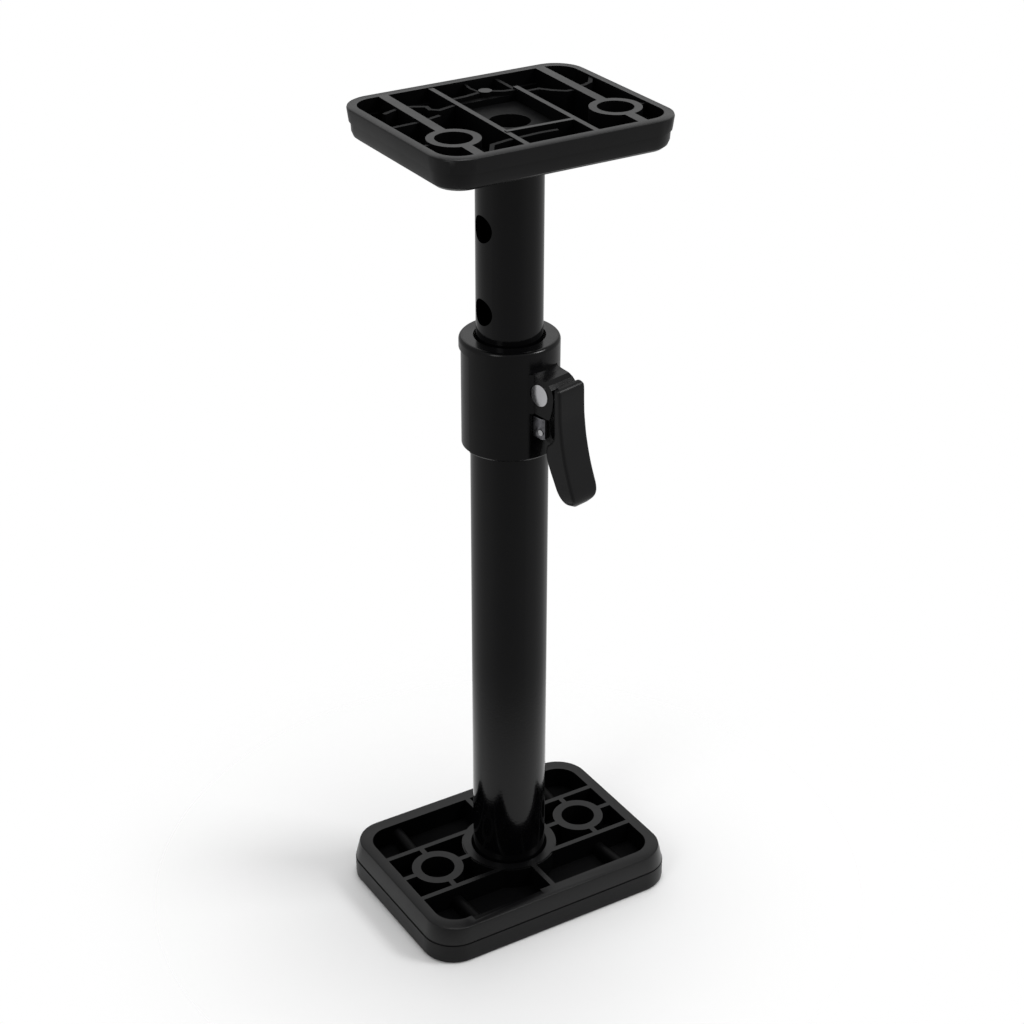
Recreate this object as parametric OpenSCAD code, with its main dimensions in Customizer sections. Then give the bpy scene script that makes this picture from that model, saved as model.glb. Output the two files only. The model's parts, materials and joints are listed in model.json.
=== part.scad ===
// Telescopic floor pedestal: a ribbed foot on a rubber sole, an outer tube with a
// moulded collar and a pull lever, and an inner tube that carries a ribbed head plate.
// Millimetres, +Z up. The tube axis is the Z axis and the sole rests on z = 0.
// The long side of both plates runs along X.

/* [Foot] */
// Length of the foot plate at its rim
foot_len = 140; // [130:1:160]
// Depth of the foot plate at its rim
foot_dep = 102.8; // [96:0.1:116]
// Rounding of the foot plate's corners
foot_corner = 17; // [14:0.5:22]
// Height of the foot from the floor to its rim
foot_h = 21; // [19:0.5:30]
// Height of the rubber sole's edge
sole_h = 11.4; // [10.4:0.2:13]
// Thickness of the rubber under the plate
sole_floor = 5; // [4.2:0.2:5.6]
// Thickness of the foot plate's floor
foot_floor = 4; // [3:0.2:5]
// Width of the foot's rim on its short sides
foot_rim_x = 6.2; // [5:0.2:9]
// Width of the foot's rim on its long sides
foot_rim_y = 7.4; // [6:0.2:10]
// Thickness of the foot's long ribs
foot_rib = 2.8; // [2:0.1:4]
// Distance of each long rib's middle from the middle of the foot
foot_rib_y = 18.8; // [17.5:0.1:21]
// Distance of the foot's screw bosses from the tube axis
foot_boss_x = 43.9; // [42:0.1:46]
// Outer radius of the foot's screw bosses
foot_boss_r = 13.6; // [12.5:0.1:15]
// Radius of the recess in each foot boss
foot_recess_r = 8.9; // [7:0.1:10]
// Outer radius of the hub round the outer tube
hub_r = 25.2; // [23:0.1:27]

/* [Head] */
// Length of the head plate at its rim
head_len = 124.4; // [116:0.2:140]
// Depth of the head plate at its rim
head_dep = 100.8; // [96:0.2:116]
// Rounding of the head plate's corners
head_corner = 15.5; // [13:0.5:20]
// Thickness of the head plate
head_h = 16; // [13:0.5:20]
// Depth of the upper band of the head plate's wall
head_band = 7; // [5:0.5:9]
// Thickness of the head plate's floor
head_floor = 2.6; // [2:0.1:4]
// Width of the head's rim on its short sides
head_rim_x = 4.3; // [3.5:0.1:7]
// Width of the head's rim on its long sides
head_rim_y = 5.2; // [4:0.1:8]
// Width of the head's wide cross ribs
head_rib_wide = 4.9; // [3.5:0.1:6]
// Width of the head's thin ribs
head_rib_thin = 2.6; // [1.8:0.1:3.5]
// Distance of the head's screw bosses from the tube axis along X
head_boss_x = 42; // [40:0.1:44]
// Distance of the head's screw bosses in front of the tube axis
head_boss_y = 22.3; // [20:0.1:24]
// Outer radius of the head's screw bosses
head_boss_r = 12.2; // [11:0.1:13.5]
// Radius of the recess in each head boss
head_recess_r = 8.5; // [7:0.1:9.5]
// Depth of the head's middle pocket below the rim
pocket_drop = 5.8; // [5:0.1:6.6]
// Slant of the head's long ribs, in degrees
rib_lean = 1.9; // [0:0.1:2.5]
// Radius of the screw holes at the bottom of all the bosses
screw_hole_r = 4.5; // [3:0.1:6]

/* [Tubes] */
// Outer radius of the outer tube
outer_r = 19; // [18.6:0.1:19.4]
// Wall of the outer tube
outer_wall = 2; // [1.6:0.1:2.2]
// Outer radius of the inner tube
inner_r = 16; // [15.6:0.1:16.2]
// Wall of the inner tube
inner_wall = 1.6; // [1.2:0.1:2.4]
// Height of the head plate's rim above the floor
post_h = 426.5; // [410:0.5:470]
// Length of the inner tube below the head plate
inner_len = 262.5; // [250:0.5:266]
// Radius of the catch holes in the inner tube
catch_r = 6.6; // [6.2:0.1:7.4]
// Distance between catch holes
catch_pitch = 41; // [30:0.5:45]
// Number of catch holes
catch_count = 6; // [2:1:6]
// Distance of the top catch hole below the head plate
catch_drop = 38; // [36:0.2:44]
// Direction that the row of catch holes faces, from the +X axis
catch_turn = 184; // [150:1:210]

/* [Collar] */
// Height of the collar's top above the floor
collar_top = 316.6; // [305:0.1:320]
// Length of the collar
collar_len = 55.6; // [50:0.2:60]
// Outer radius of the collar's thick front half
collar_r = 24.2; // [23.4:0.1:25]
// How much thinner the rear half is
collar_step = 1; // [0.3:0.1:1.2]
// Thickness of the lip over the tube's end
lip_h = 5; // [3:0.5:7]
// Radius of the hole in the lip
lip_hole_r = 17.3; // [16.8:0.1:17.8]
// Direction that the lever faces, from the +X axis
lever_turn = -77; // [-90:1:-60]

/* [Lever] */
// Distance of the pivot pin from the tube axis
pivot_r = 28.3; // [27.8:0.1:29]
// Distance of the pivot pin below the collar's top
pivot_drop = 19.9; // [19:0.1:21]
// Radius of the pivot pin's shank
pin_r = 2.5; // [2:0.1:2.8]
// Radius of the pivot pin's head
pin_head_r = 5.3; // [4:0.1:5.8]
// Width of the lever's blade
blade_w = 17.2; // [15:0.1:18]
// Width of the boss that holds the lever
boss_w = 16; // [15:0.1:18]
// Width of the lever's tongue between the two ears
tongue_w = 8.4; // [7.6:0.1:9]
// Distance of the lock peg's axis below the pivot
peg_drop = 17.7; // [17:0.1:18.4]
// Radius of the lock peg's nose
peg_r = 6; // [5:0.1:6.2]

/* [Hidden] */

black = [0.03, 0.03, 0.032];
gloss_black = [0.02, 0.02, 0.022];
rubber_black = [0.05, 0.05, 0.05];
silver = [0.78, 0.78, 0.8];
zinc = [0.6, 0.6, 0.62];
nylon = [0.85, 0.85, 0.8];

// Fits: parts that touch inside one body, parts that run on each other, and open gaps
seat_gap = 0.05;
run_gap = 0.08;
free_gap = 0.3;
thin = 0.02;

// Foot
foot_draft = 1.8;
seam = 0.35;
spigot_in = 3.6;
sole_x = foot_len + 2 * foot_draft + 0.8;
sole_y = foot_dep + foot_draft + 0.4;
foot_open_x = foot_len - 2 * foot_rim_x;
foot_open_y = foot_dep - 2 * foot_rim_y;
foot_floor_top = sole_floor + foot_floor;
tube_seat = foot_floor_top + 3;
bolt_r = 4;
bolt_head_r = 7.5;
bolt_head_h = 5.3;
washer_r = 12;
washer_h = 1.6;
bolt_pocket_r = washer_r + 0.5;
foot_washer_z = sole_floor + 0.9;
plug_h = 20;
foot_bolt_len = 20;
partition_w = 6;
slope_w = 4;
slope_h = 1.2;
partition_drop = 3;

// Head
head_z = post_h - head_h;
head_open_x = head_len - 2 * head_rim_x;
head_open_y = head_dep - 2 * head_rim_y;
head_floor_top = head_z + head_floor;
thin_rib_x = 17.6;
head_low = 0.8;
web_w = 2;
ledge_drop = 2.8;
pocket_front_y = 26.3;
pocket_rear_y = 28.6;
head_hole_r = 9.5;
socket_len = 22;
socket_web = 4;
head_plug_h = 9.5;

// Tubes
outer_in = outer_r - outer_wall;
inner_in = inner_r - inner_wall;
lip_z = collar_top - lip_h;
bush_flange = 1.1;
outer_top = lip_z - bush_flange;
inner_bottom = head_z - inner_len;
ring_h = 11;
end_flange = 3.2;
end_spigot = 15;
ring_seat_r = inner_r - 0.9;

// Collar and lever, in the lever's own frame: X points out from the tube axis
pivot_z = collar_top - pivot_drop;
peg_z = pivot_z - peg_drop;
collar_z = collar_top - collar_len;
ear_in = tongue_w / 2 + free_gap;
boss_top = pivot_z + 9;
boss_low = pivot_z - 11;
peg_hole_r = peg_r + run_gap;
collar_rim = 5.5;
rear_x = 2.8;
peg_pin_r = 1.5;
pin_drop = peg_drop + 2;
pull_angle = 18;
pin_rise = pin_drop / cos(pull_angle) - pin_drop;
spring_wire = 0.9;
spring_in = pin_r + 0.35;
spring_slope = 60;
spring_turns = 3 - spring_slope / 360;
spring_pitch = spring_wire + 0.1;
spring_half = (spring_turns * spring_pitch + spring_wire) / 2;
roof_rise = 5.9;
roof_front = 3.9;

// A rounded rectangle, and a slab of it
module rounded(w, d, r) {
    square([w - 2 * r, d], center = true);
    square([w, d - 2 * r], center = true);
    for (x = [-1, 1], y = [-1, 1])
        translate([x * (w / 2 - r), y * (d / 2 - r)]) circle(r = r, $fn = 48);
}

module slab(w, d, r, z, h) {
    translate([0, 0, z]) linear_extrude(h) rounded(w, d, r);
}

// A solid through rounded slices: each is [height, how far it lies inside the full outline]
module stack(w, d, r, slices) {
    hull()
        for (s = slices)
            slab(w - 2 * s[1], d - 2 * s[1], r - s[1], s[0], thin);
}

// A round bar along Z from one height to another
module bar(r, z0, z1) {
    translate([0, 0, z0]) cylinder(h = z1 - z0, r = r, $fn = 72);
}

// A sleeve along Z
module sleeve(r, r_in, z0, z1) {
    difference() {
        bar(r, z0, z1);
        bar(r_in, z0 - 1, z1 + 1);
    }
}

// A hexagon bolt along Z: its head spans z0 to z0 + head_h, and the shank points up or down
module hex_bolt(z0, len, dir) {
    head_end = dir > 0 ? z0 + bolt_head_h : z0;
    translate([0, 0, z0]) cylinder(h = bolt_head_h, r = bolt_head_r, $fn = 6);
    bar(bolt_r - seat_gap, min(head_end, head_end + dir * len), max(head_end, head_end + dir * len));
}

// An upright rib between two points
module rib(a, b, w, z0, z1) {
    d = b - a;
    translate([a[0], a[1], z0])
        rotate([0, 0, atan2(d[1], d[0])])
            translate([0, -w / 2, 0]) cube([norm(d), w, z1 - z0]);
}

// ---------------------------------------------------------------- foot
module base_sole() {
    color(rubber_black)
    difference() {
        union() {
            stack(sole_x, sole_y, foot_corner + 0.6, [[0, 1.4], [0.4, 0.55], [1.1, 0.12], [2.4 - thin, 0]]);
            slab(sole_x, sole_y, foot_corner + 0.6, 2.4 - thin, sole_h - seam - 2.4 + thin);
            slab(sole_x - 2 * seam, sole_y - 2 * seam, foot_corner + 0.6 - seam, sole_h - seam - thin, seam + thin);
        }
        slab(spigot_x() + 2 * seat_gap, spigot_y() + 2 * seat_gap, foot_corner - spigot_in,
             sole_floor, sole_h);
        bar(bolt_pocket_r, -1, sole_floor + 1);
        for (x = [-1, 1]) translate([x * foot_boss_x, 0]) bar(screw_hole_r, -1, sole_floor + 1);
    }
}

function spigot_x() = foot_len + 2 * foot_draft - 2 * spigot_in;
function spigot_y() = foot_dep + foot_draft - 2 * spigot_in;

module foot_shell() {
    difference() {
        union() {
            stack(foot_len, foot_dep, foot_corner, [[foot_h - 1, 0], [foot_h - 0.3, 0.25], [foot_h - thin, 0.9]]);
            hull() {
                slab(foot_len + 2 * foot_draft - 2 * seam, foot_dep + foot_draft - 2 * seam,
                     foot_corner, sole_h, thin);
                slab(foot_len + 2 * foot_draft, foot_dep + foot_draft, foot_corner, sole_h + seam, thin);
                slab(foot_len, foot_dep, foot_corner, foot_h - 1, thin);
            }
            slab(spigot_x(), spigot_y(), foot_corner - spigot_in, sole_floor, sole_h - sole_floor + 1);
        }
        slab(foot_open_x, foot_open_y, foot_corner - foot_rim_x + 1, foot_floor_top, foot_h);
    }
}

module foot_ribs() {
    far_x = foot_open_x / 2 + 1;
    far_y = foot_open_y / 2 + 1;
    z0 = foot_floor_top - 0.5;
    for (y = [-1, 1]) {
        rib([-far_x, y * foot_rib_y], [far_x, y * foot_rib_y], foot_rib, z0, foot_h);
        rib([0, y * (hub_r - 2)], [0, y * far_y], foot_rib, z0, foot_h);
        for (x = [-1, 1]) {
            rib([x * foot_boss_x, y * (foot_boss_r - 1)], [x * foot_boss_x, y * foot_rib_y],
                foot_rib, z0, foot_h);
            foot_partition(x * foot_boss_x, y, far_y);
        }
    }
    for (x = [-1, 1]) {
        rib([x * (hub_r - 2), 0], [x * (foot_boss_x - foot_boss_r + 1), 0], foot_rib, z0, foot_h);
        rib([x * (foot_boss_x + foot_boss_r - 1), 0], [x * far_x, 0], foot_rib, z0, foot_h);
    }
}

// A lower wall with a round top, between a long rib and the long rim
module foot_partition(x, side, far_y) {
    top_z = foot_h - partition_drop - partition_w / 2;
    rib([x, side * foot_rib_y], [x, side * far_y], partition_w, foot_floor_top - 0.5, top_z);
    translate([x, side * foot_rib_y, top_z])
        rotate([side * -90, 0, 0]) cylinder(h = far_y - foot_rib_y, r = partition_w / 2, $fn = 32);
}

module base_plate() {
    color(black)
    difference() {
        union() {
            foot_shell();
            foot_ribs();
            for (x = [-1, 1]) translate([x * foot_boss_x, 0]) bar(foot_boss_r, sole_floor, foot_h);
            bar(hub_r - 0.6, sole_floor, foot_h);
            bar(hub_r, sole_floor, foot_h - 0.6);
        }
        bar(outer_r + seat_gap, tube_seat, foot_h + 1);
        translate([0, 0, foot_h - 1.2]) cylinder(h = 1.3, r1 = outer_r + seat_gap, r2 = outer_r + 1.3, $fn = 72);
        for (x = [-1, 1]) translate([x * foot_boss_x, 0]) {
            bar(foot_recess_r, foot_floor_top, foot_h + 1);
            bar(screw_hole_r, sole_floor - 1, foot_h);
        }
        bar(bolt_pocket_r, sole_floor - 1, foot_washer_z + washer_h);
        bar(bolt_r + 0.2, sole_floor, foot_h);
        // shallow slope along the inner edge of the front rim
        translate([-foot_len / 2 + 21, -foot_open_y / 2 - slope_w, foot_h])
            rotate([-atan(slope_h / slope_w), 0, 0]) cube([41, slope_w + 6, 4]);
    }
}

module foot_washer() {
    color(zinc) sleeve(washer_r, bolt_r + 0.2, foot_washer_z, foot_washer_z + washer_h);
}

module foot_bolt() {
    color(zinc) hex_bolt(foot_washer_z - bolt_head_h, foot_bolt_len, 1);
}

module foot_plug() {
    color(nylon)
    difference() {
        bar(outer_in - seat_gap, tube_seat, tube_seat + plug_h);
        bar(bolt_r, tube_seat - 1, tube_seat + plug_h - 2);
    }
}

// ---------------------------------------------------------------- outer tube and collar
module lever_frame() {
    rotate([0, 0, lever_turn]) children();
}

// A round bar that runs out along the lever's direction
module radial_bar(r, x0, x1, z) {
    translate([x0, 0, z]) rotate([0, 90, 0]) cylinder(h = x1 - x0, r = r, $fn = 48);
}

// A round bar across the lever, parallel to the pivot pin
module cross_bar(r, x, z, y0, y1) {
    translate([x, y0, z]) rotate([-90, 0, 0]) cylinder(h = y1 - y0, r = r, $fn = 48);
}

module outer_tube() {
    color(gloss_black)
    difference() {
        sleeve(outer_r, outer_in, tube_seat, outer_top);
        lever_frame() radial_bar(peg_r + 0.5, 0, outer_r + 1, peg_z);
        lever_frame() radial_bar(screw_core_r, -outer_r - 1, 0, screw_z);
    }
}

module tube_bush() {
    color(nylon) {
        sleeve(outer_in - seat_gap, inner_r + run_gap, peg_z + peg_r + 2, outer_top + bush_flange);
        sleeve(outer_r, outer_in - seat_gap - 0.5, outer_top, outer_top + bush_flange);
    }
}

screw_z = collar_z + 10;
screw_r = 2.4;
screw_core_r = screw_r + seat_gap;
screw_back = collar_r - collar_step - 0.4;
screw_head_r = 4.4;
screw_head_h = screw_head_r - screw_r;
screw_gap = 0.08;
clip_r = 4.4;

module collar_skin(r) {
    edge = 2;
    rotate_extrude($fn = 96) {
        polygon([[outer_r + seat_gap, collar_z], [r - 0.5, collar_z], [r - 0.1, collar_z + 0.6],
                 [r, collar_top - edge], [r - edge, collar_top - edge], [outer_r + seat_gap, collar_top - edge]]);
        polygon([[lip_hole_r, lip_z], [r - edge, lip_z], [r - edge, collar_top], [lip_hole_r, collar_top]]);
        translate([r - edge, collar_top - edge]) intersection() {
            circle(r = edge, $fn = 48);
            square(edge);
        }
    }
}

// Side view of the boss, out from the tube axis and up
module boss_side() {
    x = pivot_r;
    z = pivot_z;
    polygon([[outer_r + 2, boss_low + 0.8], [x + 4.6, boss_low], [x + 6.3, boss_low + 0.2], [x + 7, boss_low + 2],
             [x + 8.3, z - 4], [x + 8.8, z], [x + 8.6, z + 2.4], [x + 7.6, z + 4.8], [x + 5.7, z + 6.6],
             [x + 3.2, z + 7.8], [x - 1, z + 8.4], [x - 4, boss_top], [outer_r + 2, boss_top + 0.6]]);
}

// Fairings that run the boss's flanks into the collar
module boss_flank(side) {
    w = boss_w / 2;
    reach = 19;
    start = sqrt(collar_r * collar_r - reach * reach);
    translate([0, 0, boss_low])
        linear_extrude(boss_top - boss_low)
            polygon([[outer_r - 4, side * reach * 0.6], [start, side * (reach - 0.2)],
                     [start + 3.8, side * (w + 5.6)], [start + 6.4, side * (w + 2.6)],
                     [start + 8, side * (w + 0.9)], [start + 9.4, side * w], [start + 9.4, side * (w - 2)],
                     [outer_r + 1, side * (w - 2)]]);
}

module collar() {
    color(gloss_black)
    lever_frame()
    difference() {
        union() {
            difference() {
                collar_skin(collar_r);
                // the rear half is thinner below the rim
                intersection() {
                    sleeve(collar_r + 1, collar_r - collar_step, collar_z - 1, collar_top - collar_rim);
                    translate([-60 - rear_x, -50, collar_z - 1]) cube([60, 100, collar_len]);
                }
            }
            translate([0, boss_w / 2, 0]) rotate([90, 0, 0]) linear_extrude(boss_w) boss_side();
            for (side = [-1, 1]) boss_flank(side);
        }
        bar(outer_r + seat_gap, collar_z - 1, lip_z);
        bar(lip_hole_r, lip_z - 1, collar_top + 1);
        // slot between the ears, closed above by a roof that comes down in front
        translate([pivot_r, ear_in, pivot_z]) rotate([90, 0, 0]) linear_extrude(2 * ear_in)
            polygon([[-roof_rise, -25], [-roof_rise, roof_rise], [3.4, roof_rise], [6.6, roof_front],
                     [14, roof_front], [14, -25]]);
        cross_bar(pin_r + seat_gap, pivot_r, pivot_z, -boss_w, boss_w);
        radial_bar(peg_hole_r, 0, collar_r + 6, peg_z);
        radial_bar(screw_core_r, -collar_r - 2, 0, screw_z);
        translate([-screw_back - 1, 0, screw_z]) rotate([0, 90, 0])
            cylinder(h = screw_head_h + 1, r1 = screw_head_r + screw_gap + 1, r2 = screw_r + screw_gap, $fn = 48);
        // flats for the pin's head and its clip
        cross_bar(pin_head_r + free_gap, pivot_r, pivot_z, -boss_w, -boss_w / 2);
        cross_bar(clip_r + free_gap, pivot_r, pivot_z, boss_w / 2, boss_w);
    }
}

// Countersunk screw at the back that holds the collar on the tube
module collar_screw() {
    color(black)
    lever_frame()
    difference() {
        union() {
            radial_bar(screw_r, -screw_back + 0.2, -outer_in - 0.2, screw_z);
            translate([-screw_back, 0, screw_z]) rotate([0, 90, 0])
                cylinder(h = screw_head_h, r1 = screw_head_r, r2 = screw_r, $fn = 48);
        }
        for (a = [0, 90]) translate([-screw_back - 1, 0, screw_z]) rotate([a, 0, 0])
            translate([0, -2, -0.4]) cube([2, 4, 0.8]);
    }
}

// ---------------------------------------------------------------- pivot, spring and lever
module pivot_pin() {
    w = boss_w / 2;
    color(silver)
    lever_frame() {
        cross_bar(pin_r, pivot_r, pivot_z, -w - 0.5, w + 1.6);
        translate([pivot_r, -w, pivot_z]) rotate([90, 0, 0])
            rotate_extrude($fn = 72) intersection() {
                translate([0, 1.1 - 24]) circle(r = 24, $fn = 240);
                square([pin_head_r, 3]);
            }
    }
}

module pin_clip() {
    w = boss_w / 2;
    color(zinc)
    lever_frame()
    difference() {
        cross_bar(clip_r, pivot_r, pivot_z, w, w + 0.8);
        cross_bar(pin_r, pivot_r, pivot_z, w - 1, w + 2);
        for (a = [0 : 60 : 300]) translate([pivot_r, w - 1, pivot_z]) rotate([0, a, 0])
            translate([-0.4, 0, pin_r - 0.5]) cube([0.8, 3, 1.4]);
    }
}

// Torsion spring round the pin: one leg presses down on the lever's bridge and the other
// stands against the slot's roof, so the blade is pushed home
module lever_spring() {
    mean_r = spring_in + spring_wire / 2;
    sides = 10;
    steps = 66;
    y0 = -spring_turns * spring_pitch / 2;
    path = concat(
        [[5.5, spring_slope, 0]],
        [for (k = [0 : steps]) [0, spring_slope + spring_turns * 360 * k / steps, k / steps]],
        [[-(roof_rise - 0.5), spring_slope + spring_turns * 360, 1]]);
    color(silver)
    lever_frame() translate([pivot_r, 0, pivot_z])
        loft([for (p = path)
            let (a = p[1], u = [cos(a), 0, sin(a)], t = [-sin(a), 0, cos(a)],
                 c = u * mean_r - t * p[0] + [0, y0 + spring_turns * spring_pitch * p[2], 0])
            [for (j = [0 : sides - 1])
                c + u * (spring_wire / 2 * cos(360 * j / sides))
                  - [0, spring_wire / 2 * sin(360 * j / sides), 0]]]);
}

// Stations down the blade: [outer x, outer z, inner x, inner z, half width], measured from the
// pivot, from the rounded top edge to the rounded tip
blade_half = blade_w / 2;
blade = [
    [11.4, 6.6, 10.4, 6.9, blade_half - 1.6],
    [12.9, 5.6, 9.5, 6.3, blade_half - 0.4],
    [13.4, 3.6, 9.25, 4.6, blade_half],
    [13.6, -2, 9.3, -2, blade_half],
    [13.9, -9, 9.4, -9, blade_half],
    [14.6, -15, 9.6, -15.6, blade_half],
    [15.3, -20, 9.3, -19.4, blade_half],
    [16, -23.4, 7.4, -22.4, blade_half],
    [16.8, -27, 4.9, -24.8, blade_half],
    [17.9, -31.2, 4.7, -29.8, blade_half],
    [19.4, -36, 6.8, -35.6, blade_half],
    [21, -40.4, 9.6, -41.4, blade_half],
    [22.4, -44.4, 12.2, -46.4, blade_half],
    [22.9, -47.6, 14.8, -49.8, blade_half - 0.5],
    [22.3, -50.2, 17, -51.8, blade_half - 1.8],
    [20.6, -52.3, 19.2, -52.6, blade_half - 4.2]];

// A smooth curve through a list of equal-length rows, with n steps between two rows
function row_at(p, i) = p[max(0, min(len(p) - 1, i))];
function between(p, i, t) =
    let (a = row_at(p, i - 1), b = row_at(p, i), c = row_at(p, i + 1), d = row_at(p, i + 2))
    0.5 * (2 * b + (c - a) * t + (2 * a - 5 * b + 4 * c - d) * t * t
        + (3 * b - a - 3 * c + d) * t * t * t);
function smooth(p, n) = [for (i = [0 : len(p) - 2], k = [0 : n - 1]) between(p, i, k / n), p[len(p) - 1]];

// One ring round the blade: a rectangle with round corners between the outer and inner lines
function ring(s, corner, steps) =
    let (o = [s[0], 0, s[1]], i = [s[2], 0, s[3]], m = (o + i) / 2, u = (o - i) / 2,
         l = norm(u), c = min(corner, l * 0.9, s[4] * 0.9), ux = u / l)
    [for (q = [0 : 3], k = [0 : steps])
        let (a = q * 90 + k * 90 / steps, sx = (q == 0 || q == 3) ? 1 : -1, sy = q < 2 ? 1 : -1)
        m + ux * (sx * (l - c) + c * cos(a)) + [0, sy * (s[4] - c) + c * sin(a), 0]];

module loft(rings) {
    n = len(rings[0]);
    m = len(rings);
    polyhedron(
        points = [for (r = rings, p = r) p],
        faces = concat(
            [[for (k = [n - 1 : -1 : 0]) k]],
            [for (j = [0 : m - 2], k = [0 : n - 1])
                each [[j * n + k, j * n + (k + 1) % n, (j + 1) * n + (k + 1) % n],
                      [j * n + k, (j + 1) * n + (k + 1) % n, (j + 1) * n + k]]],
            [[for (k = [0 : n - 1]) (m - 1) * n + k]]));
}

// Side view of the tongue: the eye round the pin, the bridge to the blade and the arm to the peg
module tongue_side() {
    arm_end = -pin_drop - pin_rise - 3.4;
    circle(r = 5.6, $fn = 72);
    polygon([[0, -4.4], [2.6, 1.6], [5.8, -0.4], [11, -1], [11, -7], [5, -7.4], [3.4, -9]]);
    polygon([[-4.2, -3], [-0.6, -10.6], [-0.6, -13.8], [-2.3, -pin_drop + 1.6], [-2.7, -pin_drop],
             [-1.8, arm_end + 0.8], [0, arm_end], [6, arm_end - 2.2], [8, -27], [8, -23], [4.4, -22],
             [3.4, -19], [3.2, -13.6], [3.8, -6.8], [5, -2]]);
}

module lever() {
    color(black)
    lever_frame() translate([pivot_r, 0, pivot_z])
    difference() {
        union() {
            loft([for (s = smooth(blade, 3)) ring(s, 1.3, 3)]);
            translate([0, tongue_w / 2, 0]) rotate([90, 0, 0]) linear_extrude(tongue_w) tongue_side();
        }
        cross_bar(pin_r + run_gap, 0, 0, -20, 20);
        // the cross pin slides down this slot as the lever swings
        hull() for (z = [0.2, -pin_rise - 0.2])
            cross_bar(peg_pin_r + 0.25, 0, -pin_drop + z, -20, 20);
        // room for the spring's coils and for its upright leg
        cross_bar(spring_in + spring_wire + 0.4, 0, 0, -spring_half - 0.2, spring_half + 0.2);
        translate([-6, -spring_half - 0.2, -0.5]) cube([11.6, 2 * spring_half + 0.4, 7]);
    }
}

module peg_pin() {
    color(silver) lever_frame()
        cross_bar(peg_pin_r, pivot_r, pivot_z - pin_drop, -peg_half, peg_half);
}

peg_half = 7.4;
peg_block_h = 10.6;
peg_reach = 2;

// Steel lock peg: a round nose through the collar, and a forked head over the lever's tongue
module lock_peg() {
    back = collar_r + free_gap;
    color(zinc)
    lever_frame()
    difference() {
        union() {
            radial_bar(peg_r - 0.5, inner_r + free_gap, inner_r + free_gap + 1, peg_z);
            radial_bar(peg_r, inner_r + free_gap + 0.6, back + 0.2, peg_z);
            difference() {
                translate([0, 0, peg_z - peg_block_h / 2])
                    linear_extrude(peg_block_h)
                        polygon([[outer_r, -peg_half], [pivot_r + peg_reach - 1, -peg_half],
                                 [pivot_r + peg_reach, -peg_half + 1], [pivot_r + peg_reach, peg_half - 1],
                                 [pivot_r + peg_reach - 1, peg_half], [outer_r, peg_half]]);
                bar(back, peg_z - peg_block_h, peg_z + peg_block_h);
            }
        }
        // fork and its holes for the cross pin
        translate([back + 0.6, -tongue_w / 2 - free_gap, peg_z - peg_block_h])
            cube([20, tongue_w + 2 * free_gap, 2 * peg_block_h]);
        cross_bar(peg_pin_r + seat_gap, pivot_r, pivot_z - pin_drop, -20, 20);
    }
}

// ---------------------------------------------------------------- inner tube and its end
module inner_tube() {
    color(gloss_black)
    difference() {
        sleeve(inner_r, inner_in, inner_bottom, head_z);
        for (k = [0 : catch_count - 1])
            rotate([0, 0, catch_turn])
                radial_bar(catch_r, 0, inner_r + 1, head_z - catch_drop - k * catch_pitch);
    }
}

ring_top = inner_bottom - end_flange;

module tube_end() {
    color(black)
    difference() {
        union() {
            bar(inner_in - seat_gap, ring_top - 1, inner_bottom + end_spigot);
            bar(inner_r, ring_top, inner_bottom);
            bar(ring_seat_r, ring_top - ring_h - 1, ring_top + 1);
            bar(inner_r + 0.4, ring_top - ring_h - end_flange, ring_top - ring_h - 0.2);
        }
        bar(inner_in - 2.6, ring_top - ring_h - end_flange - 1, inner_bottom + end_spigot + 1);
    }
}

// Glide ring that slides with the tube, while the tube turns in it
module glide_ring() {
    color(nylon)
    difference() {
        bar(outer_in - run_gap, ring_top - ring_h, ring_top - 0.2);
        bar(ring_seat_r + run_gap, ring_top - ring_h - 1, ring_top + 1);
    }
}

// ---------------------------------------------------------------- head
module head_shell() {
    difference() {
        union() {
            stack(head_len, head_dep, head_corner,
                  [[post_h - head_band, 0.8], [post_h - 1, 0], [post_h - 0.3, 0.25], [post_h - thin, 0.8]]);
            stack(head_len, head_dep, head_corner,
                  [[head_z, 7.2], [head_z + 0.7, 4.6], [head_z + 2.2, 2.7], [head_z + 4.4, 1.8],
                   [post_h - head_band, 1.5]]);
        }
        slab(head_open_x, head_open_y, head_corner - head_rim_x, post_h - head_band, head_h);
        slab(head_open_x - 3.6, head_open_y - 3.6, head_corner - head_rim_x - 1.8, head_floor_top, head_h);
    }
}

// Sideways step from point i of a bent rib to the edge of a rib 2 mm wide
function side_step(p, i) =
    let (a = max(i, 1), b = min(i + 1, len(p) - 1),
         u = (p[a] - p[a - 1]) / norm(p[a] - p[a - 1]),
         v = (p[b] - p[b - 1]) / norm(p[b] - p[b - 1]),
         n = [-u[1], u[0]],
         m = [-v[1], v[0]])
    (n + m) / (1 + n * m);

// A rib that follows a bent line
module web(p, w, z0, z1) {
    last = len(p) - 1;
    translate([0, 0, z0]) linear_extrude(z1 - z0) polygon(concat(
        [for (i = [0 : last]) p[i] + side_step(p, i) * w / 2],
        [for (i = [last : -1 : 0]) p[i] - side_step(p, i) * w / 2]));
}

// Where a long rib that stands at x on the front side has got to at y
function leant(x, y) = x + (y + head_boss_y) * tan(rib_lean);

module long_rib(x, y0, y1, w, z1) {
    web([[leant(x, y0), y0], [leant(x, y1), y1]], w, head_floor_top - 0.5, z1);
}

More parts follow.
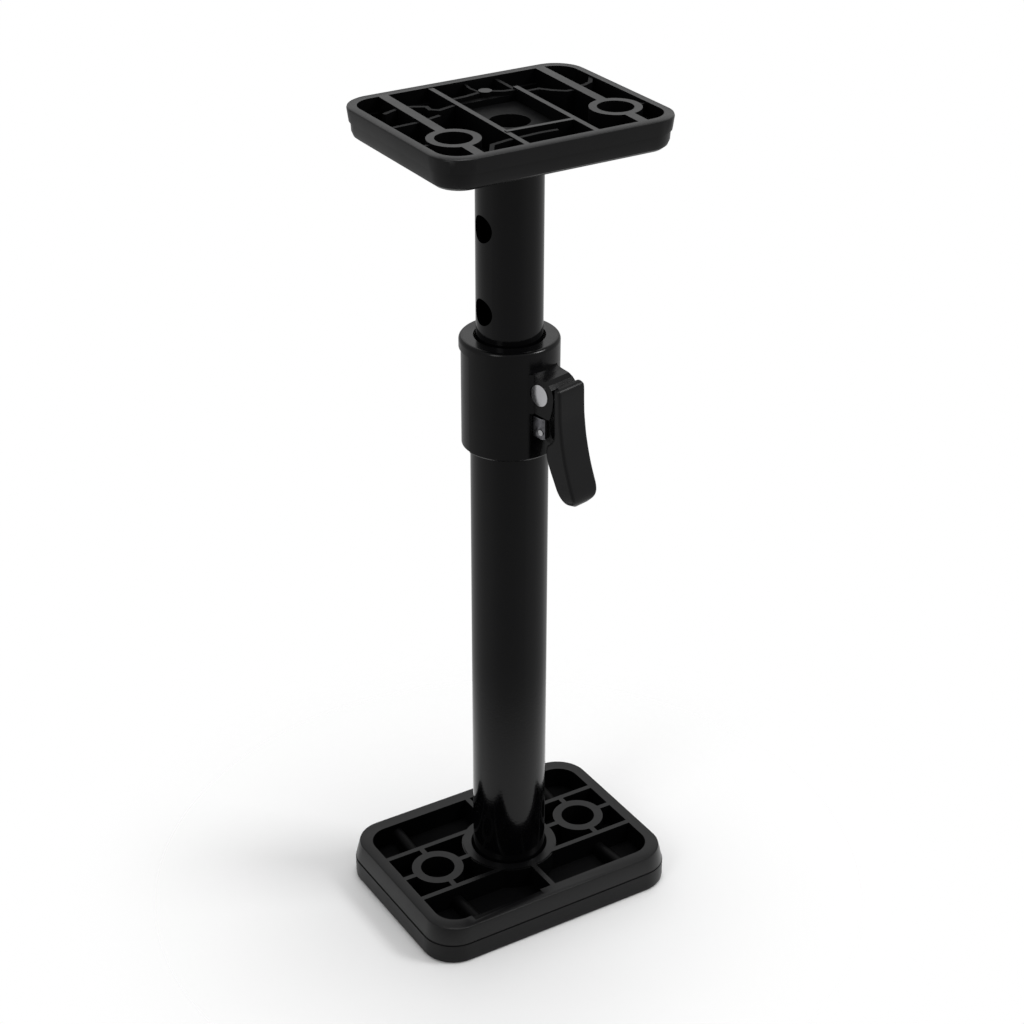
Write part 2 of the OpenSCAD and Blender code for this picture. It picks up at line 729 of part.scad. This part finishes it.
module head_ribs() {
    far_x = head_open_x / 2 + 1;
    far_y = head_open_y / 2 + 1;
    z0 = head_floor_top - 0.5;
    low_z = post_h - head_low;
    for (side = [-1, 1]) {
        x = side * head_boss_x;
        // wide ribs through the screw bosses
        long_rib(x, -head_boss_y + head_boss_r - 1, far_y, head_rib_wide, post_h);
        long_rib(x, -far_y, -head_boss_y - head_boss_r + 1, head_rib_wide, post_h);
        rib([x + side * (head_boss_r - 1), -head_boss_y], [side * far_x, -head_boss_y], 1.8, z0, post_h - 1);
    }
    // thin ribs beside the middle pocket, whose rear ends are lower
    long_rib(-thin_rib_x, -far_y, far_y, head_rib_thin, post_h - 0.3);
    long_rib(thin_rib_x, -far_y, pocket_rear_y - 2, head_rib_thin, post_h);
    long_rib(thin_rib_x, pocket_rear_y - 3, far_y, 1.8, post_h - 1.6);
    // front and rear walls of the middle pocket, and its raised floor with a ledge at the back
    rib([-thin_rib_x - 0.4, -pocket_front_y + 0.4], [thin_rib_x, -pocket_front_y - 0.6], 2.2, z0, post_h);
    web([[-thin_rib_x + 1, pocket_rear_y - 2], [-7.4, pocket_rear_y - 1.4], [2.4, pocket_rear_y + 0.8]],
        web_w, z0, low_z);
    web([[6.4, pocket_rear_y], [12.4, pocket_rear_y - 3.4], [thin_rib_x + 2, pocket_rear_y - 4.2]],
        web_w, z0, low_z);
    rib([-thin_rib_x, pocket_rear_y - 3.4], [thin_rib_x, pocket_rear_y - 3.4], 3.4, z0, post_h - ledge_drop);
    translate([-thin_rib_x, -pocket_front_y, z0])
        cube([2 * thin_rib_x + 0.8, pocket_front_y + pocket_rear_y - 3, post_h - pocket_drop - z0]);
    translate([4.6, pocket_rear_y + 0.6]) bar(3.2, z0, post_h - 0.4);
    web([[2.6, pocket_rear_y + 2], [1.8, pocket_rear_y + 10], [3.4, far_y]], 1.2, z0, post_h - 1.4);
    // curved webs in the outer cells
    web([[-far_x, 5.4], [-43, 6.2], [-30.6, 9.6]], web_w, z0, low_z);
    web([[-51, 24], [-43, 27.2], [-37.4, 28], [-29.6, 23.6], [-30.2, 19], [-27, 16.2], [-18, 18.6]],
        web_w, z0, low_z);
    web([[thin_rib_x, 20], [28, 20], [31.4, 15.2], [37, 10.4], [43, 10.2]], web_w, z0, low_z);
    web([[44, 13.6], [49, 14], [53.6, 16.2], [far_x, 23.6]], web_w, z0, low_z);
    web([[-37.4, -far_y], [-31, -36.4], [-22, -34.6], [-5, -33.4], [4, -33.8]], web_w, z0, low_z);
}

module head_plate() {
    color(black)
    difference() {
        union() {
            head_shell();
            head_ribs();
            for (x = [-1, 1])
                translate([x * head_boss_x, -head_boss_y]) bar(head_boss_r, head_z + 0.5, post_h);
            bar(inner_in - seat_gap, head_z - socket_len, head_floor_top);
        }
        for (x = [-1, 1]) translate([x * head_boss_x, -head_boss_y]) {
            bar(head_recess_r, head_floor_top, post_h + 1);
            bar(screw_hole_r, head_z - 1, post_h);
        }
        bar(head_hole_r, head_z - socket_len + socket_web, post_h);
        bar(bolt_r + 0.2, head_z - socket_len - 1, post_h);
    }
}

head_web_z = head_z - socket_len + socket_web;

module head_washer() {
    color(zinc) sleeve(head_hole_r - 0.4, bolt_r + 0.2, head_web_z, head_web_z + washer_h);
}

module head_bolt() {
    color(zinc) hex_bolt(head_web_z + washer_h, socket_web + washer_h + head_plug_h - 1, -1);
}

module head_plug() {
    color(zinc) sleeve(inner_in - seat_gap, bolt_r, head_z - socket_len - head_plug_h, head_z - socket_len);
}

base_sole();
base_plate();
foot_washer();
foot_bolt();
foot_plug();
outer_tube();
tube_bush();
collar();
collar_screw();
pivot_pin();
pin_clip();
lever_spring();
lever();
peg_pin();
lock_peg();
glide_ring();
tube_end();
inner_tube();
head_plug();
head_bolt();
head_washer();
head_plate();
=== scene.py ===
"""Dresses the telescopic floor pedestal: its finishes, fine moulded edges, light and camera."""

import json
import logging
import math
from dataclasses import dataclass
from functools import cached_property

import bpy
from mathutils import Matrix, Vector


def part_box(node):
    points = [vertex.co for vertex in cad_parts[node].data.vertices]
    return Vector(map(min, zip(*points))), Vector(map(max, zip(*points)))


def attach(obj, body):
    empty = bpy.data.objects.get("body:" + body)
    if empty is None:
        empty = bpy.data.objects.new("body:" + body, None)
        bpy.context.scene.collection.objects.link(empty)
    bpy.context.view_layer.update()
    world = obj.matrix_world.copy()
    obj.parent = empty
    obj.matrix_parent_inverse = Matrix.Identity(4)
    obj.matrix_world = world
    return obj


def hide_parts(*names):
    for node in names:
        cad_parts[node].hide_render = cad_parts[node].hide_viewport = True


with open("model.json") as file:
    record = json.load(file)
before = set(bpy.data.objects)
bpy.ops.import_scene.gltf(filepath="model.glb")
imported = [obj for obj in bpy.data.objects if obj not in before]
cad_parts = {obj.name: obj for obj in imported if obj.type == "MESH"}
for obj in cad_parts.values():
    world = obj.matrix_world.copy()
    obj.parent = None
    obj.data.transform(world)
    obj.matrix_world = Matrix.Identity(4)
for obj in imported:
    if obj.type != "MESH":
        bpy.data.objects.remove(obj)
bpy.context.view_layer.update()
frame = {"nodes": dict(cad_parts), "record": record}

logging.basicConfig(level=logging.INFO, format="%(message)s")
LOG = logging.getLogger("pedestal")

MM = 0.001
TUBE_AXIS = Vector((0.0, 0.0, 0.0))


def deselect() -> None:
    """Leaves nothing selected, so an operator acts only on what comes next."""
    bpy.ops.object.select_all(action="DESELECT")


def pick(obj: bpy.types.Object) -> None:
    """Selects one object alone and makes it active."""
    deselect()
    obj.select_set(True)
    bpy.context.view_layer.objects.active = obj


@dataclass(frozen=True)
class Finish:
    """A moulded, coated or plated surface.

    Grain and waves are in metres: the size of one grain or wave on the surface.
    """

    name: str
    colour: tuple[float, float, float]
    roughness: float
    spread: float = 0.04
    metallic: float = 0.0
    coat: float = 0.0
    coat_roughness: float = 0.05
    specular: float = 0.5
    grain: float = 0.0006
    grain_depth: float = 0.02
    wave: float = 0.02
    wave_depth: float = 0.0
    tone: float = 0.15

    def material(self) -> bpy.types.Material:
        """Makes the material, or returns it if it was made before.

        Returns:
            The Blender material with this finish.
        """
        made = bpy.data.materials.get(self.name)
        if made:
            return made
        material = bpy.data.materials.new(self.name)
        material.use_nodes = True
        nodes = material.node_tree.nodes
        links = material.node_tree.links
        shader = nodes["Principled BSDF"]
        shader.inputs["Metallic"].default_value = self.metallic
        shader.inputs["Specular IOR Level"].default_value = self.specular
        shader.inputs["Coat Weight"].default_value = self.coat
        shader.inputs["Coat Roughness"].default_value = self.coat_roughness
        place = nodes.new("ShaderNodeTexCoord")
        clouds = self._noise(nodes, links, place, 1.0 / self.wave, 3.0)
        fine = self._noise(nodes, links, place, 1.0 / self.grain, 2.0)
        colour = nodes.new("ShaderNodeValToRGB")
        low = [c * (1.0 - self.tone) for c in self.colour]
        high = [min(1.0, c * (1.0 + self.tone)) for c in self.colour]
        colour.color_ramp.elements[0].position = 0.3
        colour.color_ramp.elements[0].color = (*low, 1.0)
        colour.color_ramp.elements[1].position = 0.7
        colour.color_ramp.elements[1].color = (*high, 1.0)
        links.new(clouds.outputs["Fac"], colour.inputs["Fac"])
        links.new(colour.outputs["Color"], shader.inputs["Base Color"])
        rough = nodes.new("ShaderNodeMapRange")
        rough.inputs["From Min"].default_value = 0.3
        rough.inputs["From Max"].default_value = 0.7
        rough.inputs["To Min"].default_value = max(0.0, self.roughness - self.spread)
        rough.inputs["To Max"].default_value = self.roughness + self.spread
        links.new(clouds.outputs["Fac"], rough.inputs["Value"])
        links.new(rough.outputs["Result"], shader.inputs["Roughness"])
        bump = nodes.new("ShaderNodeBump")
        bump.inputs["Strength"].default_value = 1.0
        bump.inputs["Distance"].default_value = self.grain * self.grain_depth
        links.new(fine.outputs["Fac"], bump.inputs["Height"])
        last = bump
        if self.wave_depth:
            swell = nodes.new("ShaderNodeBump")
            swell.inputs["Strength"].default_value = 1.0
            swell.inputs["Distance"].default_value = self.wave * self.wave_depth
            links.new(clouds.outputs["Fac"], swell.inputs["Height"])
            links.new(bump.outputs["Normal"], swell.inputs["Normal"])
            last = swell
        links.new(last.outputs["Normal"], shader.inputs["Normal"])
        return material

    @staticmethod
    def _noise(
        nodes: bpy.types.Nodes,
        links: bpy.types.NodeLinks,
        place: bpy.types.Node,
        scale: float,
        detail: float,
    ) -> bpy.types.Node:
        """Adds a noise pattern on Object coordinates and returns its node."""
        noise = nodes.new("ShaderNodeTexNoise")
        noise.inputs["Scale"].default_value = scale
        noise.inputs["Detail"].default_value = detail
        links.new(place.outputs["Object"], noise.inputs["Vector"])
        return noise

    def dress(self, obj: bpy.types.Object) -> None:
        """Gives a piece this finish all over.

        Args:
            obj: the piece, which loses the materials it had.
        """
        obj.data.materials.clear()
        obj.data.materials.append(self.material())


SATIN_BLACK = Finish("satin_black_plastic", (0.0022, 0.0022, 0.0025), 0.32, specular=0.30, grain_depth=0.03, wave_depth=0.003)
GLOSS_BLACK = Finish("gloss_black_plastic", (0.0020, 0.0020, 0.0023), 0.20, specular=0.24, spread=0.05, wave_depth=0.002)
TUBE_COAT = Finish("gloss_black_coat", (0.0018, 0.0018, 0.0021), 0.09, specular=0.26, spread=0.02, grain=0.0012)
LEVER_BLACK = Finish("lever_black_plastic", (0.0026, 0.0026, 0.0030), 0.32, specular=0.30, grain_depth=0.03)
# Painted shade: a darker, duller black for the faces inside the plates' cells, standing in for the shade that
# falls in these recesses.
CELL_SHADE_BLACK = Finish("painted_cell_shade", (0.0014, 0.0014, 0.0016), 0.50, specular=0.08)
SOLE_RUBBER = Finish("black_rubber", (0.0018, 0.0018, 0.0021), 0.38, specular=0.20, grain_depth=0.05)
BRIGHT_STEEL = Finish("bright_plated_steel", (0.80, 0.80, 0.82), 0.25, metallic=1.0)
ZINC = Finish("zinc_plated_steel", (0.60, 0.60, 0.63), 0.34, metallic=1.0)
DARK_STEEL = Finish("dark_spring_steel", (0.03, 0.03, 0.033), 0.35, metallic=1.0)
BURNISHED_STEEL = Finish("burnished_steel", (0.20, 0.20, 0.215), 0.28, metallic=1.0, tone=0.5, wave=0.004)
NYLON = Finish("natural_nylon", (0.72, 0.71, 0.65), 0.45)

SLOT_FINISH = {
    "sole": SOLE_RUBBER,
    "plate": SATIN_BLACK,
    "collar": GLOSS_BLACK,
    "tube": TUBE_COAT,
    "bright": BRIGHT_STEEL,
    "steel": ZINC,
    "nylon": NYLON,
}

NODE_FINISH = {
    "lever": LEVER_BLACK,
    "lever_spring": DARK_STEEL,
    "lock_peg": BURNISHED_STEEL,
    "peg_pin": BRIGHT_STEEL,
}


def finish_of(part: dict) -> Finish:
    """Finds the finish of one sub-part.

    Args:
        part: the sub-part's row in the record.

    Returns:
        The node's own finish if it has one, and its slot's finish otherwise.
    """
    return NODE_FINISH.get(part["node"], SLOT_FINISH[part["material_slot"]])


@dataclass
class MouldedEdges:
    """A copy of a CAD solid whose sharp edges are broken, so that they catch the light."""

    node: str
    width: float = 0.35 * MM
    segments: int = 3
    sharp: float = 50.0
    smooth: float = 40.0
    flat: float = 0.1
    weld: float = 0.02 * MM

    def build(self) -> bpy.types.Object:
        """Copies the solid, merges its triangles and bevels what is sharp.

        Returns:
            The finished piece, which rides on the solid's body and replaces it.
        """
        solid = frame["nodes"][self.node]
        part = next(p for p in frame["record"]["subparts"] if p["node"] == self.node)
        piece = bpy.data.objects.new(self.node + "_moulding", solid.data.copy())
        bpy.context.scene.collection.objects.link(piece)
        piece.data.transform(solid.matrix_world)
        pick(piece)
        bpy.ops.object.mode_set(mode="EDIT")
        bpy.ops.mesh.select_all(action="SELECT")
        bpy.ops.mesh.remove_doubles(threshold=self.weld)
        if self.flat > 0.0:
            bpy.ops.mesh.dissolve_limited(angle_limit=math.radians(self.flat))
        bpy.ops.mesh.normals_make_consistent(inside=False)
        bpy.ops.object.mode_set(mode="OBJECT")
        bpy.ops.mesh.customdata_custom_splitnormals_clear()
        self.shape(piece)
        if self.width > 0.0:
            self.break_edges(piece)
        bpy.ops.object.shade_smooth_by_angle(angle=math.radians(self.smooth))
        self.paint(piece, part)
        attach(piece, body_of(self.node))
        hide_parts(self.node)
        LOG.info("%s: %d faces", piece.name, len(piece.data.polygons))
        return piece

    def break_edges(self, piece: bpy.types.Object) -> None:
        """Bevels the sharp edges that this piece wants broken.

        Args:
            piece: the merged copy, selected and active.
        """
        bpy.ops.object.mode_set(mode="EDIT")
        bpy.ops.mesh.select_mode(type="EDGE")
        bpy.ops.mesh.select_all(action="DESELECT")
        bpy.ops.mesh.edges_select_sharp(sharpness=math.radians(self.sharp))
        bpy.ops.object.mode_set(mode="OBJECT")
        mesh = piece.data
        for edge in mesh.edges:
            if edge.select:
                first, last = (mesh.vertices[i].co for i in edge.vertices)
                edge.select = self.wants((first + last) / 2.0)
        bpy.ops.object.mode_set(mode="EDIT")
        bpy.ops.mesh.bevel(offset=self.width, segments=self.segments, clamp_overlap=False)
        bpy.ops.object.mode_set(mode="OBJECT")

    def wants(self, place: Vector) -> bool:
        """Tells whether a sharp edge is broken; a plain copy breaks them all.

        Args:
            place: the middle of the edge; not used.

        Returns:
            True if the edge gets a bevel.
        """
        return True

    def shape(self, piece: bpy.types.Object) -> None:
        """Shapes the copy before its edges are broken; a plain copy stays as it is.

        Args:
            piece: the merged copy.
        """

    def paint(self, piece: bpy.types.Object, part: dict) -> None:
        """Gives the piece its finish.

        Args:
            piece: the finished mesh.
            part: the sub-part's row in the record.
        """
        finish_of(part).dress(piece)


@dataclass
class RibbedPlate(MouldedEdges):
    """The foot or the head, its cells painted darker and duller than its glossier rib tops, as painted shade in
    the recesses.
    """

    width: float = 0.0
    flat: float = 0.0
    smooth: float = 28.0
    rim: float = 3.6 * MM
    corner: float = 20.0 * MM
    cell_depth: float = 0.7 * MM

    @cached_property
    def top(self) -> float:
        """Height of the plate's rim."""
        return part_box(self.node)[1][2]

    def paint(self, piece: bpy.types.Object, part: dict) -> None:
        """Gives the plate its finish and paints shade on the faces inside its cells with a darker, duller
        black.
        """
        super().paint(piece, part)
        piece.data.materials.append(CELL_SHADE_BLACK.material())
        low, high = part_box(self.node)
        flat_x = (high[0] - low[0]) / 2.0 - self.corner
        flat_y = (high[1] - low[1]) / 2.0 - self.corner
        for face in piece.data.polygons:
            place = face.center
            past_x = abs(place.x) - flat_x
            past_y = abs(place.y) - flat_y
            beyond = math.hypot(max(past_x, 0.0), max(past_y, 0.0)) + min(max(past_x, past_y), 0.0)
            # Faces inside the cells, away from the rim and below the rib tops, get the painted shade.
            if beyond < self.corner - self.rim and place.z < self.top - self.cell_depth:
                face.material_index = 1


@dataclass
class FootPlate(RibbedPlate):
    """The foot, whose low partitions fall towards the long ribs."""

    partition_x: float = 43.9 * MM
    partition_half: float = 3.2 * MM
    rib_face: float = 20.2 * MM
    fall: float = 2.4 * MM

    def shape(self, piece: bpy.types.Object) -> None:
        """Lowers the ends of the partitions' round tops at the long ribs."""
        for vertex in piece.data.vertices:
            place = vertex.co
            vertex.select = (
                abs(abs(place.x) - self.partition_x) < self.partition_half
                and abs(abs(place.y) - self.rib_face) < 0.2 * MM
                and 12.0 * MM < place.z < self.top - 1.0 * MM
            )
        for edge in piece.data.edges:
            edge.select = False
        for face in piece.data.polygons:
            face.select = False
        bpy.ops.object.mode_set(mode="EDIT")
        bpy.ops.mesh.select_mode(type="VERT")
        bpy.ops.transform.translate(value=(0.0, 0.0, -self.fall))
        bpy.ops.object.mode_set(mode="OBJECT")


def body_of(node: str) -> str:
    """Finds the body that a node belongs to.

    Args:
        node: the node's name.

    Returns:
        The name of its body.
    """
    bodies = frame["record"]["behaviour"]["bodies"]
    return next(body for body, nodes in bodies.items() if node in nodes)


def dress_frame() -> None:
    """Gives every CAD node the finish of its slot in the record."""
    for part in frame["record"]["subparts"]:
        node = frame["nodes"][part["node"]]
        finish_of(part).dress(node)
        pick(node)
        bpy.ops.object.shade_smooth_by_angle(angle=math.radians(28))


@dataclass
class Studio:
    """The pale floor, the lamps, the white surroundings and the camera."""

    floor_size: float = 3.0
    floor_colour: float = 0.92
    fade_from: float = 0.09
    fade_to: float = 0.24
    room_glow: float = 0.45
    room_front: float = 0.34
    camera_from: tuple[float, float, float] = (-0.4921, -0.8054, 0.7322)
    camera_turn: float = -31.5045
    camera_pitch: float = 28.4367
    camera_roll: float = 0.1029
    lens: float = 76.666

    def floor(self) -> None:
        """Lays the floor and lets its rim fade into the white surroundings."""
        deselect()
        bpy.ops.mesh.primitive_plane_add(size=self.floor_size, location=(0, 0, 0))
        floor = bpy.context.object
        floor.name = "studio_floor"
        material = bpy.data.materials.new("pale_floor")
        material.use_nodes = True
        nodes = material.node_tree.nodes
        links = material.node_tree.links
        shader = nodes["Principled BSDF"]
        shader.inputs["Base Color"].default_value = (*([self.floor_colour] * 3), 1.0)
        shader.inputs["Roughness"].default_value = 0.9
        shader.inputs["Specular IOR Level"].default_value = 0.0
        place = nodes.new("ShaderNodeTexCoord")
        length = nodes.new("ShaderNodeVectorMath")
        length.operation = "LENGTH"
        links.new(place.outputs["Object"], length.inputs[0])
        fade = nodes.new("ShaderNodeMapRange")
        fade.interpolation_type = "SMOOTHSTEP"
        fade.inputs["From Min"].default_value = self.fade_from
        fade.inputs["From Max"].default_value = self.fade_to
        links.new(length.outputs["Value"], fade.inputs["Value"])
        clear = nodes.new("ShaderNodeBsdfTransparent")
        mix = nodes.new("ShaderNodeMixShader")
        links.new(fade.outputs["Result"], mix.inputs["Fac"])
        links.new(shader.outputs["BSDF"], mix.inputs[1])
        links.new(clear.outputs["BSDF"], mix.inputs[2])
        links.new(mix.outputs["Shader"], nodes["Material Output"].inputs["Surface"])
        floor.data.materials.append(material)

    def lamps(self) -> None:
        """Sets soft lamps and the surroundings."""
        for name, place, aim, size, power in (
            ("key_panel", (1.15, -0.85, 1.65), (0, 0, 0.2), (0.5, 0.5), 14.0),
            ("left_panel", (-1.3, -0.6, 1.3), (0, 0, 0.25), (0.5, 0.8), 4.0),
            ("rear_panel", (0.75, 1.2, 1.15), (0, 0, 0.2), (1.6, 0.7), 2.0),
            ("top_panel", (0.2, 0.1, 2.0), (0, 0, 0.1), (0.8, 0.8), 14.0),
        ):
            light = bpy.data.lights.new(name, "AREA")
            light.shape = "RECTANGLE"
            light.size, light.size_y = size
            light.energy = power
            lamp = bpy.data.objects.new(name, light)
            bpy.context.scene.collection.objects.link(lamp)
            lamp.location = place
            lamp.rotation_euler = (Vector(aim) - Vector(place)).to_track_quat("-Z", "Y").to_euler()
        world = bpy.data.worlds.new("white_room")
        bpy.context.scene.world = world
        world.use_nodes = True
        nodes = world.node_tree.nodes
        links = world.node_tree.links
        plain = nodes["Background"]
        plain.inputs["Color"].default_value = (1, 1, 1, 1)
        place = nodes.new("ShaderNodeTexCoord")
        facing = nodes.new("ShaderNodeVectorMath")
        facing.operation = "DOT_PRODUCT"
        links.new(place.outputs["Generated"], facing.inputs[0])
        front = Vector((self.camera_from[0], self.camera_from[1], 0.0)).normalized()
        facing.inputs[1].default_value = front
        glow = nodes.new("ShaderNodeMapRange")
        glow.interpolation_type = "SMOOTHSTEP"
        glow.inputs["From Min"].default_value = 0.35
        glow.inputs["From Max"].default_value = 0.95
        glow.inputs["To Min"].default_value = self.room_glow
        glow.inputs["To Max"].default_value = self.room_front
        links.new(facing.outputs["Value"], glow.inputs["Value"])
        links.new(glow.outputs["Result"], plain.inputs["Strength"])
        seen = nodes.new("ShaderNodeBackground")
        seen.inputs["Color"].default_value = (1, 1, 1, 1)
        seen.inputs["Strength"].default_value = 1.0
        path = nodes.new("ShaderNodeLightPath")
        mix = nodes.new("ShaderNodeMixShader")
        links.new(path.outputs["Is Camera Ray"], mix.inputs["Fac"])
        links.new(plain.outputs["Background"], mix.inputs[1])
        links.new(seen.outputs["Background"], mix.inputs[2])
        links.new(mix.outputs["Shader"], nodes["World Output"].inputs["Surface"])

    def camera(self) -> None:
        """Puts the camera where the product is seen from its left front and above."""
        turn = math.radians(self.camera_turn)
        pitch = math.radians(self.camera_pitch)
        roll = math.radians(self.camera_roll)
        ahead = Vector((-math.sin(turn) * math.cos(pitch), math.cos(turn) * math.cos(pitch), -math.sin(pitch)))
        right = Vector((math.cos(turn), math.sin(turn), 0.0))
        up = right.cross(ahead)
        right, up = (
            right * math.cos(roll) + up * math.sin(roll),
            up * math.cos(roll) - right * math.sin(roll),
        )
        data = bpy.data.cameras.new("camera")
        data.sensor_width = 36.0
        data.lens = self.lens
        camera = bpy.data.objects.new("camera", data)
        bpy.context.scene.collection.objects.link(camera)
        axes = Matrix((right, up, -ahead)).transposed().to_4x4()
        camera.matrix_world = Matrix.Translation(Vector(self.camera_from)) @ axes
        bpy.context.scene.camera = camera
        bpy.context.scene.view_settings.view_transform = "Standard"

    def build(self) -> None:
        """Sets up the whole studio."""
        self.floor()
        self.lamps()
        self.camera()



def main() -> None:
    """Dresses the part and sets up the studio."""
    dress_frame()
    FootPlate("base_plate").build()
    RibbedPlate("head_plate").build()
    MouldedEdges("lock_peg").build()
    Studio().build()


if __name__ == "__main__":
    main()
